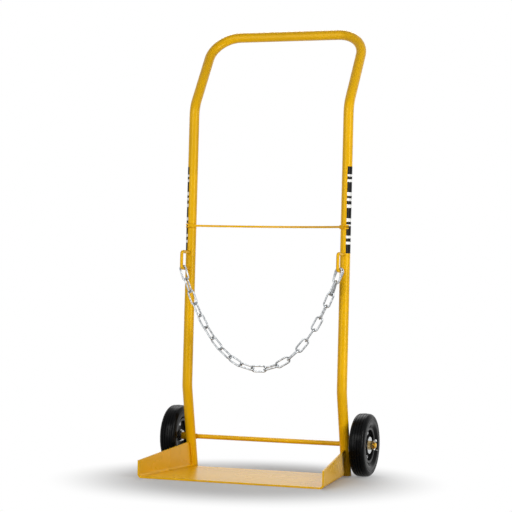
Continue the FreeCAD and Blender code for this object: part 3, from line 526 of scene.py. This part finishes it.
def floor():
    """Studio floor with a pale grey painted shadow pool in front of the trolley, where the real shadow also
    falls, seen white further out.
    """
    work = bmesh.new()
    bmesh.ops.create_circle(work, cap_ends=True, segments=FLOOR_SIDES, radius=FLOOR_RADIUS,
                            matrix=Matrix.Translation((0, 0, -FLOOR_DROP)))
    mesh = bpy.data.meshes.new("studio_floor")
    work.to_mesh(mesh)
    work.free()
    material, tree, shader = new_material("matt_floor_with_painted_shadow_pool")
    # The grey base is a painted shadow pool that fades to white away from the pool's middle point.
    shader.inputs["Base Color"].default_value = linear("#C8C8C8")
    shader.inputs["Roughness"].default_value = 0.9
    shader.inputs["Specular IOR Level"].default_value = 0.1
    place = add(tree, "ShaderNodeTexCoord").outputs["Object"]
    far = add(tree, "ShaderNodeVectorMath", {0: place}, operation="DISTANCE")
    far.inputs[1].default_value = SHADOW_POOL_MIDDLE
    fade = add(tree, "ShaderNodeMapRange", {"Value": far.outputs["Value"]}, From_Min=SHADOW_POOL_FADE[0],
               From_Max=SHADOW_POOL_FADE[1], interpolation_type="SMOOTHSTEP")
    shown = add(tree, "ShaderNodeMath", {0: fade.outputs["Result"], 1: seen_directly(tree)},
                operation="MULTIPLY")
    glow = add(tree, "ShaderNodeEmission", Color=WHITE, Strength=1.0)
    mix = add(tree, "ShaderNodeMixShader",
              {0: shown.outputs["Value"], 1: shader.outputs["BSDF"], 2: glow.outputs["Emission"]})
    tree.links.new(mix.outputs["Shader"], tree.nodes["Material Output"].inputs["Surface"])
    mesh.materials.append(material)
    new_object("studio_floor", mesh)


def world():
    """White where it is seen or mirrored, softer where it lights."""
    sky = bpy.data.worlds.new("studio_world")
    bpy.context.scene.world = sky
    sky.use_nodes = True
    tree = sky.node_tree
    tree.nodes.clear()
    light = add(tree, "ShaderNodeBackground", Color=WHITE, Strength=WORLD_LIGHT)
    white = add(tree, "ShaderNodeBackground", Color=WHITE, Strength=1.0)
    mix = add(tree, "ShaderNodeMixShader",
              {0: seen_directly(tree), 1: light.outputs["Background"], 2: white.outputs["Background"]})
    add(tree, "ShaderNodeOutputWorld", {"Surface": mix.outputs["Shader"]})


def camera():
    """The photograph's viewing angle: level, from the trolley's front right, slightly rolled."""
    lens = bpy.data.cameras.new("camera")
    lens.sensor_width = CAMERA_SENSOR
    lens.lens = CAMERA_LENS
    lens.dof.use_dof = False
    piece = new_object("camera", lens)
    turn = math.radians(CAMERA_TURN)
    climb = math.radians(CAMERA_CLIMB)
    roll = Matrix.Rotation(math.radians(CAMERA_ROLL), 4, "Z")
    forward = Vector((-math.sin(turn) * math.cos(climb), math.cos(turn) * math.cos(climb), math.sin(climb)))
    right = Vector((math.cos(turn), math.sin(turn), 0))
    up = right.cross(forward)
    pose = Matrix((right, up, -forward)).transposed().to_4x4() @ roll
    piece.matrix_world = Matrix.Translation(CAMERA_PLACE) @ pose
    bpy.context.scene.camera = piece


def around(azimuth, distance, height):
    """A place at a compass angle about the trolley: 0 in front of it, 90 on its right."""
    angle = math.radians(azimuth)
    return (distance * math.sin(angle), -distance * math.cos(angle), height)


def soft_box(name, place, target, width, height, power):
    """A rectangular lamp of some watts that faces a target."""
    lamp = bpy.data.lights.new(name, "AREA")
    lamp.shape = "RECTANGLE"
    lamp.size = width
    lamp.size_y = height
    lamp.energy = power
    piece = new_object(name, lamp)
    piece.location = place
    piece.rotation_euler = (Vector(target) - Vector(place)).to_track_quat("-Z", "Y").to_euler()


floor()
world()
camera()
soft_box("left_panel", around(-22, 1.6, 0.8), target=(0, 0, 0.8), width=0.6, height=1.4, power=8)
soft_box("right_panel", around(67, 1.6, 0.8), target=(0, 0, 0.8), width=0.35, height=1.4, power=17)
soft_box("front_box", (-0.3, -3.2, 2.1), target=(0, 0, 0.5), width=2.0, height=1.0, power=28)
soft_box("back_box", (-0.7, 2.0, 2.4), target=(0, 0, 0.4), width=1.6, height=1.6, power=30)
bpy.context.scene.view_settings.view_transform = "Standard"
